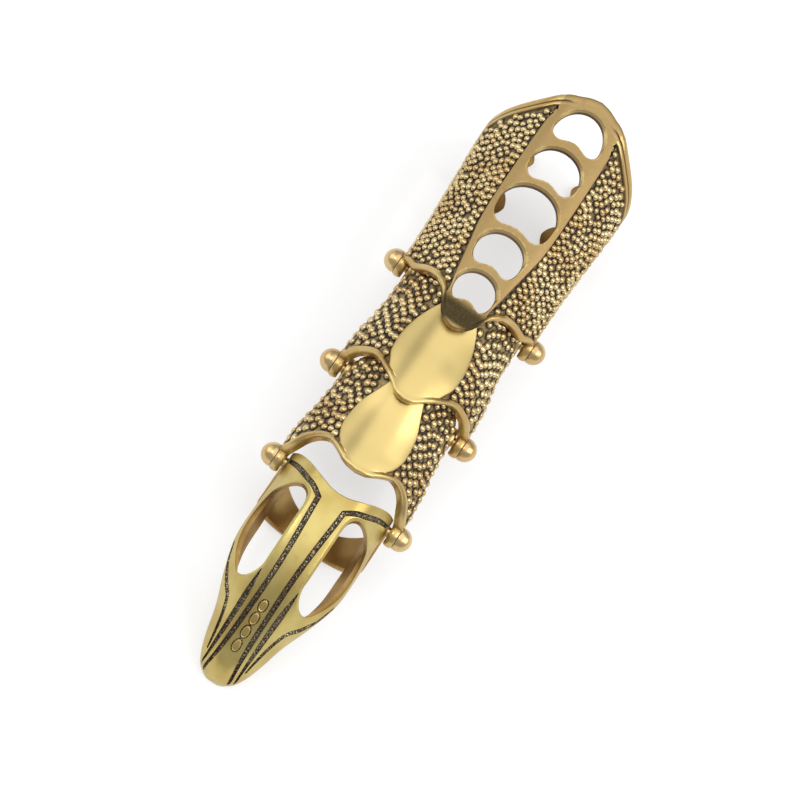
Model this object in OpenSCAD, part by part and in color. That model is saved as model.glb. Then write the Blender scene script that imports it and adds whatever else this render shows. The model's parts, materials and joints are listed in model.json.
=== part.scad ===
// Knuckle armor ring: four cast finger segments on one line, joined by ball-headed rivets.
// X runs across the finger, the fingertip points to -Y, and Z = 0 is the surface that the ring lies on.

/* [Finger line] */
// Radius of the finger that the open shank arms take
finger_r = 9; // [8.7:0.05:9]
// Root end of the base plate, behind the first hinge
root_reach = 30.5; // [29.5:0.1:31.5]
// First hinge to second hinge
first_pitch = 16.3; // [16:0.1:16.6]
// Second hinge to third hinge
second_pitch = 14.9; // [14.6:0.1:15.2]
// Height of the first, second and third hinge above the surface
hinge_heights = [9.45, 8.8, 8.2]; // [8:0.05:9.6]

/* [Base plate] */
// Height of the flat top strip
base_crest = 19.7; // [19.6:0.05:20]
// Half of the width over the flanks at the first hinge
base_side = 10.1; // [10.05:0.05:10.2]
// Depth of the open arms below the finger
arm_wall = 1.1; // [1:0.05:1.3]
// Width of the smooth arms along the finger
front_arm_w = 4.6; // [4:0.1:5]
// Half of the gap between a left and a right arm
arm_gap = 3.2; // [2.8:0.1:3.6]
// How much wider than the finger the slanted rear arms are bent
rear_arm_slack = 0.35; // [0.3:0.05:0.4]

/* [Walls and relief] */
// Thickness of a shell at its smooth places
shell_wall = 1.05; // [1:0.05:1.1]
// Clearance between one shell and the next inside it
nest_gap = 0.25; // [0.2:0.01:0.3]
// Depth of the beaded ground below the smooth places
ground_depth = 0.35; // [0.2:0.05:0.4]
// Height of a bead above the ground
bead_rise = 0.42; // [0.2:0.02:0.46]
// Height of the wavy rims above the smooth places
rim_rise = 0.25; // [0.1:0.05:0.3]
// Width of the wavy rims
rim_w = 0.85; // [0.8:0.05:1.15]
// Depth of the claw's grooves
groove_depth = 0.4; // [0.2:0.05:0.5]

/* [Rivets] */
// Radius of a ball head
ball_r = 1.6; // [1.4:0.05:1.6]
// Radius of a rivet's shank
shank_r = 0.7; // [0.6:0.02:0.75]
// Running clearance round a shank
shank_play = 0.05; // [0.03:0.01:0.08]
// Radius of the round ears that the rivets pass through
ear_r = 1.75; // [1.7:0.05:1.8]
// Thickness of an ear
ear_wall = 1; // [0.9:0.05:1]
// Clearance round a ball head and round an inner head
head_play = 0.15; // [0.1:0.01:0.2]

/* [Hidden] */
$fn = 64;
gold = [0.76, 0.64, 0.38];

claw_reach = 27.1;
line_length = root_reach + first_pitch + second_pitch + claw_reach;
hinge_y = [
    line_length / 2 - root_reach,
    line_length / 2 - root_reach - first_pitch,
    claw_reach - line_length / 2
];
arm_r = finger_r + arm_wall;
ring_z = sqrt(arm_r * arm_r - arm_gap * arm_gap);
step_in = shell_wall + nest_gap;

// Reading a table: its first column rises, and the values between rows follow a smooth curve
function mix(a, b, q) = a + (b - a) * q;
function row_below(table, v, i = 0) =
    (i >= len(table) - 2 || v < table[i + 1][0]) ? i : row_below(table, v, i + 1);
function lean(table, i, k) =
    let (lo = max(i - 1, 0), hi = min(i + 1, len(table) - 1))
    (table[hi][k] - table[lo][k]) / (table[hi][0] - table[lo][0]);
function read(table, v, k = 1) =
    let (
        i = row_below(table, v),
        step = table[i + 1][0] - table[i][0],
        t = min(max((v - table[i][0]) / step, 0), 1)
    )
    (2 * t^3 - 3 * t^2 + 1) * table[i][k]
    + (t^3 - 2 * t^2 + t) * lean(table, i, k) * step
    + (3 * t^2 - 2 * t^3) * table[i + 1][k]
    + (t^3 - t^2) * lean(table, i + 1, k) * step;
function read_row(table, v) = [for (k = [0 : len(table[0]) - 1]) k == 0 ? v : read(table, v, k)];

// Half of an arched cross section: crest, shoulder, brow and foot, in that order.
// A section row is [y, half width of the top, height of the top, half width, height of the brow, height of
// the foot], and turn 0, 1, 2 and 3 are the crest, the shoulder, the brow and the foot.
function bends(row, inset) =
    let (tilt = atan2(row[2] - row[4], row[3] - row[1]))
    [
        [0, row[2] - inset],
        [row[1] - inset * tan(tilt / 2), row[2] - inset],
        [row[3] - inset, row[4] - inset * tan((90 - tilt) / 2)],
        [row[3] - inset, row[5]]
    ];
function on_bends(p, turn) = let (i = min(floor(turn), 2)) mix(p[i], p[i + 1], turn - i);
function arch_point(row, turn, inset, soft) =
    let (
        p = bends(row, inset),
        k = turn < 2 - soft[1] ? 1 : 2,
        start = k - soft[k - 1],
        end = k + (k == 1 ? min(soft[0], 1 - soft[1]) : soft[1]),
        q = (turn - start) / (end - start)
    )
    (q <= 0 || q >= 1) ? on_bends(p, turn)
    : mix(mix(on_bends(p, start), p[k], q), mix(p[k], on_bends(p, end), q), q);
function half_girth(row) = row[1] + norm([row[3] - row[1], row[2] - row[4]]) + row[4] - row[5];
function turn_at(row, reach) =
    let (flank = norm([row[3] - row[1], row[2] - row[4]]))
    reach < row[1] ? reach / row[1]
    : reach < row[1] + flank ? 1 + (reach - row[1]) / flank
    : min(2 + (reach - row[1] - flank) / (row[4] - row[5]), 3);

// The section of a shell that nests inside another one at a hinge
function nested(row, y) =
    let (p = bends(row, step_in)) [y, p[1][0], p[1][1], p[2][0], p[2][1], row[5] + 0.1];

// Section rows of each shell, from the front to the rear, measured from the hinge at its named end.
// Columns: y, half width of the top, height of the top, half width, height of the brow, height of the foot
base_rows = [
    [-7.8, 4.6, base_crest, base_side, 11.6, 7.3],
    [0, 4.6, base_crest, base_side, 11.6, 7.3],
    [6, 5, base_crest, base_side + 0.05, 12, 7.2],
    [13, 5.1, base_crest, base_side + 0.35, 12.2, 7.1],
    [21, 5.1, base_crest, base_side + 0.75, 12.3, 7.1],
    [26, 5, base_crest, base_side + 0.6, 12.3, 7.3],
    [root_reach, 4.9, base_crest, base_side + 0.3, 12.3, 7.5]
];
second_front = [0, 4.3, base_crest - 0.65, base_side - 0.45, 11.2, 6.8];
second_rows = [
    [-first_pitch - 3.2, 4.3, second_front[2] + 0.05, second_front[3], 11.2, 6.8],
    [-first_pitch, 4.3, second_front[2], second_front[3], 11.2, 6.8],
    [-first_pitch + 2.6, 4.4, second_front[2] - 0.15, base_side - 0.2, 11.3, 6.8],
    [-first_pitch + 5.5, 4.4, second_front[2] - 0.4, base_side - 0.4, 11.2, 6.9],
    [-first_pitch + 9.5, 4.2, second_front[2] - 0.6, base_side - 1.05, 11, 7],
    nested(base_rows[1], -2),
    nested(base_rows[1], 0)
];
third_front = [0, 4.1, base_crest - 1.9, base_side - 1, 10.6, 6.3];
third_rows = [
    [-second_pitch - 1, 4.1, third_front[2], third_front[3], 10.6, 6.3],
    [-second_pitch, 4.1, third_front[2], third_front[3], 10.6, 6.3],
    [-second_pitch + 2.6, 4.2, third_front[2] - 0.1, base_side - 0.65, 10.7, 6.3],
    [-second_pitch + 5.5, 4.2, third_front[2] - 0.3, base_side - 0.85, 10.6, 6.4],
    [-second_pitch + 9, 4, third_front[2] - 0.35, base_side - 1.35, 10.5, 6.5],
    nested(second_front, -2),
    nested(second_front, 0)
];

// Where the smooth middle of a shell ends and its beads begin: y, half width along the surface
base_strip = [
    [-7.8, 3], [-3.2, 3], [-1.2, 3.35], [0.85, 3.65], [3.6, 4.1], [7.7, 4.7], [13, 4.85], [20, 4.8],
    [24, 4.7], [26.6, 4.4], [root_reach, 4.2]
];
second_shield = [
    [-19.5, 2.8], [-17, 3.1], [-15.4, 3.65], [-13.8, 4.2], [-11.1, 4.35], [-8.3, 3.85], [-6.2, 3.05],
    [-4.7, 2.3], [-2.5, 1.8], [0, 1.6]
];
third_shield = [
    [-16, 2.6], [-12.2, 2.9], [-10.8, 3.6], [-9.4, 4.05], [-8.1, 4.2], [-5.4, 3.85], [-2.65, 2.75], [0, 1.8]
];

// Edges of the shells: turn round the section, y behind the hinge at that edge
base_front = [
    [0, -7.7], [0.3, -7.35], [0.59, -6.6], [0.72, -5.9], [0.87, -4.4], [1, -3.6], [1.11, -2.8],
    [1.44, -1.8], [1.72, -1.5], [1.88, -0.9], [2, -0.5], [2.4, 0.1], [3, 0.6]
];
base_root = [
    [0, root_reach], [0.33, 30.15], [0.62, 29.5], [0.94, 28.85], [1.28, 27.6], [1.61, 26.4], [1.86, 25.2],
    [2, 24.5], [2.4, 23.1], [2.75, 21.6], [3, 20.4]
];
second_front_edge = [
    [0, -3.1], [0.33, -2.75], [0.59, -1.8], [0.85, -0.7], [1.04, 0.3], [1.3, 1.1], [1.7, 1.15],
    [1.87, 0.85], [2, 0.5], [2.4, 0.1], [3, 0.5]
];
second_rear_edge = [
    [0, -3.9], [0.5, -3.8], [0.75, -2.7], [1, -0.8], [1.3, 0.9], [1.6, 1.9], [1.9, 1.6], [2.1, 0.6], [2.4, 0],
    [3, -0.5]
];
third_front_edge = [
    [0, 0.8], [0.42, 1.2], [0.76, 2.3], [1, 3], [1.3, 3], [1.6, 2.3], [1.8, 1.3],
    [2, 0.7], [2.4, 0.1], [3, 0.5]
];
third_rear_edge = [
    [0, -0.3], [0.5, 0.4], [1, 2.1], [1.4, 2.9], [1.7, 2.4], [1.9, 1.6], [2.1, 0.6], [2.4, 0], [3, -0.5]
];

// Grid of a shell. A column is [field, place in that field]: the smooth middle, the beads or the foot border.
middle = 0;
beads = 1;
border = 2;
middle_steps = 3;
bead_columns = 9;
edge_w = 0.3;
border_w = 0.9;
half_columns = concat(
    [for (k = [0 : middle_steps]) [middle, k / middle_steps]],
    [for (k = [0 : 2 * bead_columns]) [beads, k / (2 * bead_columns)]],
    [[border, 0], [border, 1]]
);
columns = concat(
    [for (k = [len(half_columns) - 1 : -1 : 1]) [-1, half_columns[k][0], half_columns[k][1]]],
    [for (c = half_columns) [1, c[0], c[1]]]
);
function column_reach(column, half, girth) =
    column[1] == middle ? half * column[2]
    : column[1] == beads ? mix(half + edge_w, girth - border_w, column[2])
    : girth - border_w * (1 - column[2]) + edge_w * (1 - column[2]);
function bead_number(column) = round(column[2] * 2 * bead_columns);
function has_bead(column, n, last) =
    column[1] == beads && bead_number(column) % 2 == 1 && n > 0 && n < last
    && (n + (bead_number(column) - 1) / 2) % 2 == 1;

// Rows of a shell: [zone, place], where the zones are the front rim, the field and the rear rim
function shell_lines(steps, rear_rim) = concat(
    [[0, 0], [0, 0.5], [0, 1]],
    [for (n = [0 : steps]) [1, n]],
    rear_rim > 0 ? [[2, 1], [2, 0]] : [[2, 0]]
);

// Behind its hinge a shell keeps its distance from the axis, so that it turns freely in the shell around it
function behind_hinge(point, y, hinge_z) =
    hinge_z == undef ? point
    : let (arm = point[1] - hinge_z)
        (y > 0 && arm > y) ? [point[0], hinge_z + sqrt(arm * arm - y * y)] : point;

function shell_point(shell, column, line, inset) =
    let (
        steps = shell[5],
        front_row = read_row(shell[0], shell[6]),
        rear_row = read_row(shell[0], shell[7]),
        front_turn = turn_at(front_row, column_reach(column, read(shell[1], shell[6]), half_girth(front_row))),
        rear_turn = turn_at(rear_row, column_reach(column, read(shell[1], shell[7]), half_girth(rear_row))),
        y_front = shell[6] + read(shell[2], front_turn),
        y_rear = read(shell[3], rear_turn),
        slant = (read(shell[2], front_turn + 0.05) - read(shell[2], front_turn - 0.05)) / 0.55,
        rim = rim_w * min(sqrt(1 + slant * slant), 1.35),
        rear_rim = shell[8],
        y_low = y_front + rim + edge_w * 0.6,
        y_high = y_rear - (rear_rim > 0 ? rear_rim + edge_w * 0.6 : 0.4),
        y = line[0] == 0 ? y_front + rim * line[1]
            : line[0] == 1 ? mix(y_low, y_high, line[1] / steps)
            : y_rear - rear_rim * line[1],
        row = read_row(shell[0], y),
        turn = turn_at(row, column_reach(column, read(shell[1], y), half_girth(row))),
        level = line[0] == 0 ? rim_rise
            : line[0] == 2 ? (rear_rim > 0 ? 0.1 : 0)
            : column[1] != beads ? 0
            : has_bead(column, line[1], steps) ? bead_rise - ground_depth
            : -ground_depth,
        flat_point = arch_point(row, turn, inset > 0 ? inset : -level, shell[9]),
        point = behind_hinge(flat_point, y, shell[4])
    )
    [column[0] * point[0], y, point[1]];

// A whole shell as one closed surface: a fine outer grid with the relief and a coarse smooth inner one
function thinned(count, every) =
    concat([for (k = [0 : every : count - 2]) if (k == 0 || k + every / 2 < count - 1) k], [count - 1]);
module shell(shell) {
    lines = shell_lines(shell[5], shell[8]);
    last_column = len(columns) - 1;
    last_line = len(lines) - 1;
    inner_columns = thinned(len(columns), 2);
    inner_lines = thinned(len(lines), 3);
    inner_start = len(columns) * len(lines);
    outer = [for (c = columns) for (l = lines) shell_point(shell, c, l, 0)];
    inner = [for (i = inner_columns) for (j = inner_lines) shell_point(shell, columns[i], lines[j], shell_wall)];
    function o(i, j) = i * len(lines) + j;
    function n(a, b) = inner_start + a * len(inner_lines) + b;
    function raised(i, j) = lines[j][0] == 1 && has_bead(columns[i], lines[j][1], shell[5]);
    across = len(inner_columns) - 1;
    along = len(inner_lines) - 1;
    top_faces = [
        for (i = [0 : last_column - 1])
            for (j = [0 : last_line - 1])
                for (
                    face = (raised(i, j) || raised(i + 1, j + 1))
                    ? [[o(i, j), o(i, j + 1), o(i + 1, j)], [o(i, j + 1), o(i + 1, j + 1), o(i + 1, j)]]
                    : [[o(i, j), o(i, j + 1), o(i + 1, j + 1)], [o(i, j), o(i + 1, j + 1), o(i + 1, j)]]
                ) face
    ];
    inner_faces = [
        for (a = [0 : across - 1])
            for (b = [0 : along - 1])
                for (face = [[n(a, b), n(a + 1, b), n(a + 1, b + 1)], [n(a, b), n(a + 1, b + 1), n(a, b + 1)]]) face
    ];
    end_faces = [
        for (a = [0 : across - 1])
            for (
                face = concat(
                    [for (i = [inner_columns[a] : inner_columns[a + 1] - 1]) [o(i, 0), o(i + 1, 0), n(a, 0)]],
                    [[o(inner_columns[a + 1], 0), n(a + 1, 0), n(a, 0)]],
                    [
                        for (i = [inner_columns[a] : inner_columns[a + 1] - 1])
                            [o(i + 1, last_line), o(i, last_line), n(a, along)]
                    ],
                    [[n(a, along), n(a + 1, along), o(inner_columns[a + 1], last_line)]]
                )
            ) face
    ];
    foot_faces = [
        for (b = [0 : along - 1])
            for (
                face = concat(
                    [for (j = [inner_lines[b] : inner_lines[b + 1] - 1]) [o(0, j + 1), o(0, j), n(0, b)]],
                    [[o(0, inner_lines[b + 1]), n(0, b), n(0, b + 1)]],
                    [
                        for (j = [inner_lines[b] : inner_lines[b + 1] - 1])
                            [o(last_column, j), o(last_column, j + 1), n(across, b)]
                    ],
                    [[o(last_column, inner_lines[b + 1]), n(across, b + 1), n(across, b)]]
                )
            ) face
    ];
    polyhedron(
        points = concat(outer, inner),
        faces = concat(top_faces, inner_faces, end_faces, foot_faces),
        convexity = 8
    );
}

// Shell data: section rows, middle, front edge, rear edge, hinge height, steps along the field, hinge at the
// front edge, place of the rear edge's section, width of the rear rim, softness of shoulder and brow
base_shell = [base_rows, base_strip, base_front, base_root, undef, 38, 0, 24, 1.9, [0.35, 0.3]];
second_shell = [
    second_rows, second_shield, second_front_edge, second_rear_edge, hinge_heights[0],
    20, -first_pitch, 0, 0, [0.9, 0.35]
];
third_shell = [
    third_rows, third_shield, third_front_edge, third_rear_edge, hinge_heights[1],
    18, -second_pitch, 0, 0, [0.9, 0.35]
];

// One pair of round ears or the holes through them, on the hinge axis
module across(radius, from, to) {
    for (side = [-1, 1])
        rotate([0, side * 90, 0])
            translate([0, 0, from])
                cylinder(r = radius, h = to - from);
}
module at_hinge(hinge) {
    translate([0, hinge_y[hinge], hinge_heights[hinge]]) children();
}

// Outer face of the ears at each hinge, outer face of the ears inside them, radius of a rivet's inner head,
// and the gap between an ear and the ball on it
outer_ear = [base_side + rim_rise, second_front[3] + rim_rise, third_front[3] + rim_rise];
inner_ear = [base_side - step_in, second_front[3] - step_in, third_front[3] - step_in];
head_r = 1.25;
ball_gap = 0.03;

// Room that the ball heads need outside a pair of ears, and the inner heads inside the next pair
module ball_room(hinge) {
    at_hinge(hinge) across(ball_r + head_play, outer_ear[hinge] + ball_gap / 2, outer_ear[hinge] + 2);
}
module head_room(hinge) {
    at_hinge(hinge) across(head_r + head_play, inner_ear[hinge] - ear_wall - 2, inner_ear[hinge] - ear_wall);
}

// A crescent of the top strip, seen from above: a round arc to the root, a squarer edge with a broad rise
square_power = 0.62;
hump_half = 0.8;
hump_rise = 0.9;
function crescent(half, rise, drop) = [
    for (a = [0 : 10 : 350])
        a <= 180 ? [half * cos(a), rise * sin(a)]
        : let (
            x = half * sign(cos(a)) * pow(abs(cos(a)), square_power),
            hump = abs(x) < hump_half * half ? (1 + cos(180 * x / (hump_half * half))) / 2 : 0
        )
            [x, -drop * pow(abs(sin(a)), square_power) + hump_rise * hump]
];
// Columns: place behind the first hinge, half width, reach to the root, reach to the tip
crescents = [
    [24, 3.4, 4.1, 1.55],
    [18.3, 3.5, 3.35, 2.6],
    [11.3, 4.1, 3.9, 3.45],
    [4.4, 3.25, 3, 2.9],
    [-1.7, 2.8, 2.65, 2.6]
];

// Open shank arms: two on each side, bent round the finger and round at their free ends.
// The smooth front pair holds the finger, and the slanted rear pair is bent a little wider.
module front_arm_plan(side) {
    front_y = 18.6;
    translate([side * (arm_gap + front_arm_w / 2), front_y]) circle(d = front_arm_w);
    translate([side * (arm_gap + front_arm_w / 2 + 6), front_y]) square([12, front_arm_w], center = true);
}
module rear_arm_plan(side) {
    rear_w = 2.9;
    end_y = 26.6;
    translate([side * (arm_gap + rear_w / 2), end_y]) circle(d = rear_w);
    polygon([
        [side * (arm_gap + rear_w / 2 - 0.98), end_y - 1.07],
        [side * (arm_gap + rear_w / 2 + 0.98), end_y + 1.07],
        [side * 11, end_y - 3.7],
        [side * 11, end_y - 6.9]
    ]);
}
module bent_pair(inner_r) {
    arms_top = 11.4;
    intersection() {
        rotate([-90, 0, 0])
            translate([0, -ring_z, 15])
                difference() {
                    cylinder(r = arm_r, h = 14, $fn = 96);
                    translate([0, 0, -1]) cylinder(r = inner_r, h = 16, $fn = 96);
                }
        linear_extrude(arms_top) children();
    }
}
module shank_arms() {
    bent_pair(finger_r)
        for (side = [-1, 1])
            front_arm_plan(side);
    bent_pair(finger_r + rear_arm_slack)
        for (side = [-1, 1])
            rear_arm_plan(side);
}

module base_plate() {
    color(gold)
        difference() {
            union() {
                translate([0, hinge_y[0], 0]) {
                    shell(base_shell);
                    shank_arms();
                }
                at_hinge(0) across(ear_r, base_side - ear_wall, outer_ear[0]);
            }
            at_hinge(0) across(shank_r + shank_play, base_side - 2, base_side + 2);
            ball_room(0);
            for (c = crescents)
                translate([0, hinge_y[0] + c[0], base_crest - 4])
                    linear_extrude(8)
                        polygon(crescent(c[1], c[2], c[3]));
        }
}

// A saddle plate: its inner ears at its rear hinge and its outer ears at its front hinge
module saddle_plate(shell, rear, side) {
    color(gold)
        difference() {
            union() {
                translate([0, hinge_y[rear], 0]) shell(shell);
                at_hinge(rear) across(ear_r, inner_ear[rear] - ear_wall, inner_ear[rear]);
                at_hinge(rear + 1) across(ear_r, side - ear_wall, outer_ear[rear + 1]);
            }
            for (hinge = [rear, rear + 1])
                at_hinge(hinge) across(shank_r + shank_play, side - 3, side + 2);
            head_room(rear);
            ball_room(rear + 1);
        }
}
module second_plate() {
    saddle_plate(second_shell, 0, second_front[3]);
}
module third_plate() {
    saddle_plate(third_shell, 1, third_front[3]);
}

// Claw sections, measured from the third hinge.
// Columns: y, half width of the top, height of the top, half width, brow, foot, how far the foot tucks in
claw_rows = [
    [-claw_reach, 0.5, 2.6, 0.9, 1.3, 0.3, 0.1],
    [-26.7, 0.9, 3.5, 1.75, 1.7, 0.1, 0.2],
    [-25.6, 1.5, 5.1, 3, 2.6, 0, 0.3],
    [-23.3, 2.1, 7.5, 4.1, 4.2, 0.5, 0.6],
    [-19.7, 2.6, 10.7, 5.2, 6.2, 2, 0.9],
    [-16, 3.1, 13.2, 6.75, 7.8, 3.4, 1.2],
    [-12, 3.7, 15, 7.95, 8.9, 4.6, 1.4],
    [-8, 4.1, 16.1, 8.1, 9.7, 5.4, 1.4],
    [-3, 4.2, 16.6, 7.85, 10.3, 6, 1],
    [3, 4.2, 16.6, 7.85, 10.6, 6.2, 0.6]
];
claw_soft = [0.5, 0.5];
claw_turns = [0, 0.5, 0.75, 1, 1.25, 1.5, 1.75, 2, 2.25, 2.5, 3];
function claw_point(row, turn, inset) =
    let (p = arch_point(row, turn, inset, claw_soft))
    [p[0] - row[6] * max(turn - 2, 0)^2, p[1]];
function claw_ring(row, inset, drop) = concat(
    [
        for (k = [len(claw_turns) - 1 : -1 : 1])
            let (p = claw_point(row, claw_turns[k], inset))
            [-p[0], row[0], p[1] - (k == len(claw_turns) - 1 ? drop : 0)]
    ],
    [
        for (k = [0 : len(claw_turns) - 1])
            let (p = claw_point(row, claw_turns[k], inset))
            [p[0], row[0], p[1] - (k == len(claw_turns) - 1 ? drop : 0)]
    ]
);
module loft(rings) {
    count = len(rings[0]);
    last = len(rings) - 1;
    polyhedron(
        points = [for (ring = rings) for (p = ring) p],
        faces = concat(
            [[for (k = [0 : count - 1]) k]],
            [[for (k = [count - 1 : -1 : 0]) last * count + k]],
            [
                for (j = [0 : last - 1])
                    for (k = [0 : count - 1])
                        for (
                            face = [
                                [j * count + k, (j + 1) * count + k, (j + 1) * count + (k + 1) % count],
                                [j * count + k, (j + 1) * count + (k + 1) % count, j * count + (k + 1) % count]
                            ]
                        ) face
            ]
        ),
        convexity = 6
    );
}
claw_stations = [
    -claw_reach, -26.7, -25.6, -24.4, -23.3, -21.5, -19.7, -18, -16, -14, -12, -10, -8, -5, -2, 3
];
hollow_stations = [-24.6, -23.3, -21.5, -19.7, -18, -16, -14, -12, -10, -8, -5, -2, 4];
module claw_body(inset) {
    loft([for (y = claw_stations) claw_ring(read_row(claw_rows, y), inset, 0)]);
}
module claw_hollow() {
    loft([for (y = hollow_stations) claw_ring(read_row(claw_rows, y), ear_wall, 8)]);
}

// Shapes seen from above: the window, the grooves and the dipped rear edge of the claw
window_outer = [[-16.5, 4.65], [-16, 5.4], [-14.9, 6.1], [-13.2, 6.9], [-11, 7.45], [-8, 7.5], [-5.4, 7.05], [-4.2, 6.1]];
window_plan = concat(
    window_outer,
    [[-3.7, 5.1], [-3.8, 4.1], [-4.6, 3.25], [-5.8, 2.95], [-14.7, 2.95], [-15.8, 3.4], [-16.4, 4]]
);
function flipped(points, side) = [for (p = points) [side * p[1], p[0]]];
// A groove along a centre line of [y, x, half width] rows
function groove(line) = concat(
    [for (k = [0 : len(line) - 1]) [line[k][0], line[k][1] - line[k][2]]],
    [for (k = [len(line) - 1 : -1 : 0]) [line[k][0], line[k][1] + line[k][2]]]
);
bar_groove = [
    [-27, 1.95, 0.2], [-24.7, 1.6, 0.3], [-22.4, 1.42, 0.35], [-19.2, 1.34, 0.37], [-15, 1.3, 0.37],
    [-11, 1.45, 0.37], [-6, 1.8, 0.37], [-4.3, 1.9, 0.36]
];
side_groove = [
    [-24.9, 2.9, 0.14], [-23.3, 3.2, 0.28], [-21.2, 3.7, 0.36], [-19.1, 4.45, 0.42], [-17.4, 5.6, 0.46],
    [-15.2, 6.75, 0.38], [-12.5, 7.6, 0.2]
];
short_groove = [[-26.4, 2.5, 0.14], [-24.3, 2.5, 0.3], [-21.5, 2.55, 0.42], [-18.4, 2.65, 0.44], [-15.3, 2.8, 0.06]];
rim_groove = [[-4, 1.6], [-2.95, 3.3], [-2.2, 4.7], [0, 7.5], [-0.8, 7.5], [-3.1, 4.6], [-3.85, 3.3], [-4.9, 1.9]];
claw_rear = [[-2.5, 0], [-2.3, 1.5], [-1.5, 3.5], [-0.4, 5.2], [0.5, 6.5], [0.95, 7.4], [1, 9]];
module groove_plans() {
    for (side = [-1, 1])
        for (points = [groove(bar_groove), groove(side_groove), groove(short_groove), rim_groove])
            polygon(flipped(points, side));
}
module claw_windows() {
    window_floor = 8.4;
    for (side = [-1, 1])
        translate([0, 0, window_floor])
            linear_extrude(14)
                polygon(flipped(window_plan, side));
}
module claw_grooves() {
    groove_floor = 3;
    difference() {
        translate([0, 0, groove_floor]) linear_extrude(16) groove_plans();
        claw_body(groove_depth);
    }
}
module behind_claw() {
    linear_extrude(24)
        polygon(concat(
            flipped([for (k = [len(claw_rear) - 1 : -1 : 0]) claw_rear[k]], -1),
            flipped(claw_rear, 1),
            [[9, 8], [-9, 8]]
        ));
}

// Four small raised ringlets on the claw's middle bar, each lying on the slope
ringlet_y = [-18.7, -20.3, -21.9, -23.5];
module ringlets() {
    half_w = 0.5;
    half_l = 0.72;
    line_w = 0.22;
    sink = 0.3;
    function oval(cut) = [for (a = [0 : 30 : 330]) [(half_w - cut) * cos(a), (half_l - cut) * sin(a)]];
    for (y = ringlet_y) {
        top = read(claw_rows, y, 2);
        pitch = atan2(read(claw_rows, y + 1, 2) - read(claw_rows, y - 1, 2), 2);
        translate([0, y, top])
            rotate([pitch, 0, 0])
                translate([0, 0, -sink])
                    linear_extrude(sink + 0.2)
                        difference() {
                            polygon(oval(0));
                            polygon(oval(line_w));
                        }
    }
}

// Closed band below the fingertip, wider where it meets the side rails: y, x
band_r = 8.1;
band_wall = 1;
band_plan = concat(
    [for (x = [-8.4 : 2.8 : 8.4]) [x, -2.1 + 1.3 * (x / 6)^2]],
    [for (x = [8.4 : -2.8 : -8.4]) [x, -5.6 - 0.6 * (x / 6)^2]]
);
module claw_band() {
    intersection() {
        rotate([90, 0, 0])
            translate([0, band_r, -2])
                difference() {
                    cylinder(r = band_r, h = 12, $fn = 96);
                    translate([0, 0, -1]) cylinder(r = band_r - band_wall, h = 14, $fn = 96);
                }
        linear_extrude(band_r + 0.4) polygon(band_plan);
    }
}

module fingertip_claw() {
    color(gold)
        difference() {
            union() {
                translate([0, hinge_y[2], 0]) {
                    difference() {
                        claw_body(0);
                        claw_hollow();
                        claw_windows();
                        claw_grooves();
                        behind_claw();
                    }
                    claw_band();
                    ringlets();
                }
                at_hinge(2) across(ear_r, inner_ear[2] - ear_wall, inner_ear[2]);
            }
            at_hinge(2) across(shank_r + shank_play, inner_ear[2] - 2, inner_ear[2] + 2);
            head_room(2);
        }
}

// Ball-headed rivet: the ball rests on the outer ear, and a flat head holds the inner ear
module rivet(hinge, side) {
    ball_out = 0.3;
    head_h = 0.45;
    inside = inner_ear[hinge] - ear_wall - 0.06;
    color(gold)
        at_hinge(hinge)
            rotate([0, side * 90, 0]) {
                intersection() {
                    translate([0, 0, outer_ear[hinge] + ball_gap + ball_out]) sphere(r = ball_r);
                    translate([0, 0, outer_ear[hinge] + ball_gap]) cylinder(r = 3, h = 4);
                }
                translate([0, 0, inside - head_h]) cylinder(r = shank_r, h = outer_ear[hinge] - inside + head_h + 0.5);
                translate([0, 0, inside - head_h]) cylinder(r = head_r, h = head_h);
            }
}
module root_rivet_left() {
    rivet(0, -1);
}
module root_rivet_right() {
    rivet(0, 1);
}
module middle_rivet_left() {
    rivet(1, -1);
}
module middle_rivet_right() {
    rivet(1, 1);
}
module tip_rivet_left() {
    rivet(2, -1);
}
module tip_rivet_right() {
    rivet(2, 1);
}

base_plate();
second_plate();
third_plate();
fingertip_claw();
root_rivet_left();
root_rivet_right();
middle_rivet_left();
middle_rivet_right();
tip_rivet_left();
tip_rivet_right();
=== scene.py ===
import json
import math

import bmesh
import bpy
import numpy as np
from mathutils import Matrix, Vector, kdtree


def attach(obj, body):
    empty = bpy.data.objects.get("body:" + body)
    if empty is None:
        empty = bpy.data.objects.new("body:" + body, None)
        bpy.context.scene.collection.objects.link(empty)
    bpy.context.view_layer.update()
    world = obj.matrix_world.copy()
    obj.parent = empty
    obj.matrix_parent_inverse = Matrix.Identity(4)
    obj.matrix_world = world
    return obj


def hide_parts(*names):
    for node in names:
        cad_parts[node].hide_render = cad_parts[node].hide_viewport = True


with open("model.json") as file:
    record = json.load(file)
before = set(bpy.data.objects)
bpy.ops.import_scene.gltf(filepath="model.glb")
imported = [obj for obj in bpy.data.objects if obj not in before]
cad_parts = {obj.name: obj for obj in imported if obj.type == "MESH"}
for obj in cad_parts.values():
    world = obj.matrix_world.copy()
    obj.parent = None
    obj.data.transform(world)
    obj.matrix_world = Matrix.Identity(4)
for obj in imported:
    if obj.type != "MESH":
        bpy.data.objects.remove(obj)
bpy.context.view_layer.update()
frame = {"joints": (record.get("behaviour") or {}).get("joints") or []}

# The hinge line. The ring is four cast segments that follow one finger, each riveted across the finger to
# the next, so every segment is drawn in millimetres from the rivet line at its own hinge.

MM = 0.001
pins = {joint["name"]: np.array(joint["pos_m"]) / MM for joint in frame["joints"]}
root_pin = pins["root_hinge"]
middle_pin = pins["middle_hinge"]
tip_pin = pins["tip_hinge"]
ball_r = 1.6
shank_r = 0.7
ear_r = 1.75
ear_wall = 1.0
both_sides = ((-1, "left"), (1, "right"))


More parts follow.
